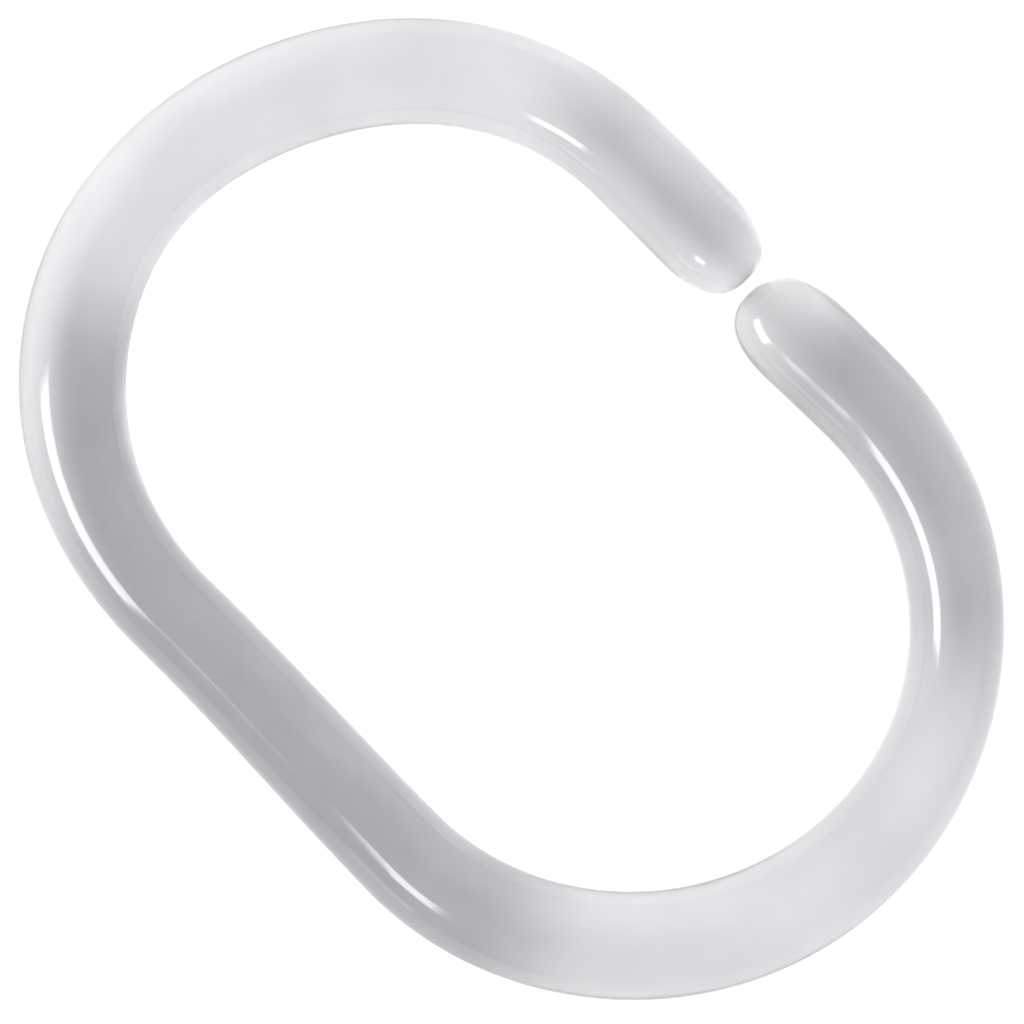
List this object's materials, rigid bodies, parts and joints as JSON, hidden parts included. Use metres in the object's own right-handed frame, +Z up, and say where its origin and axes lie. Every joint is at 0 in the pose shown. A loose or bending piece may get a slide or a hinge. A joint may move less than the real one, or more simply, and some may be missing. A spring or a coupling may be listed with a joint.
{
  "type": "shower curtain ring",
  "caption": "Oval open ring of clear round plastic bar, split on one long side, which springs open over a shower rod and carries the curtain's eyelet.",
  "frame": {"origin": "on the surface the ring lies on, under the middle of its outline", "axes": "+X along the ring from the rod end to the curtain end, +Y towards the split side, +Z up through its thickness"},
  "size_m": [0.06, 0.0416, 0.0058],
  "materials": {
    "clear_plastic": "gloss"
  },
  "bodies": {
    "rod_side": {"rod_half": "clear_plastic"},
    "curtain_side": {"curtain_half": "clear_plastic"}
  },
  "joints": [
    {"name": "spring_open", "type": "hinge", "parent": "rod_side", "child": "curtain_side", "pos_m": [0, -0.0208, 0.0029], "axis": [0, 0, -1], "range_deg": [0, 38], "stiffness_Nm_per_rad": 1.5}
  ]
}
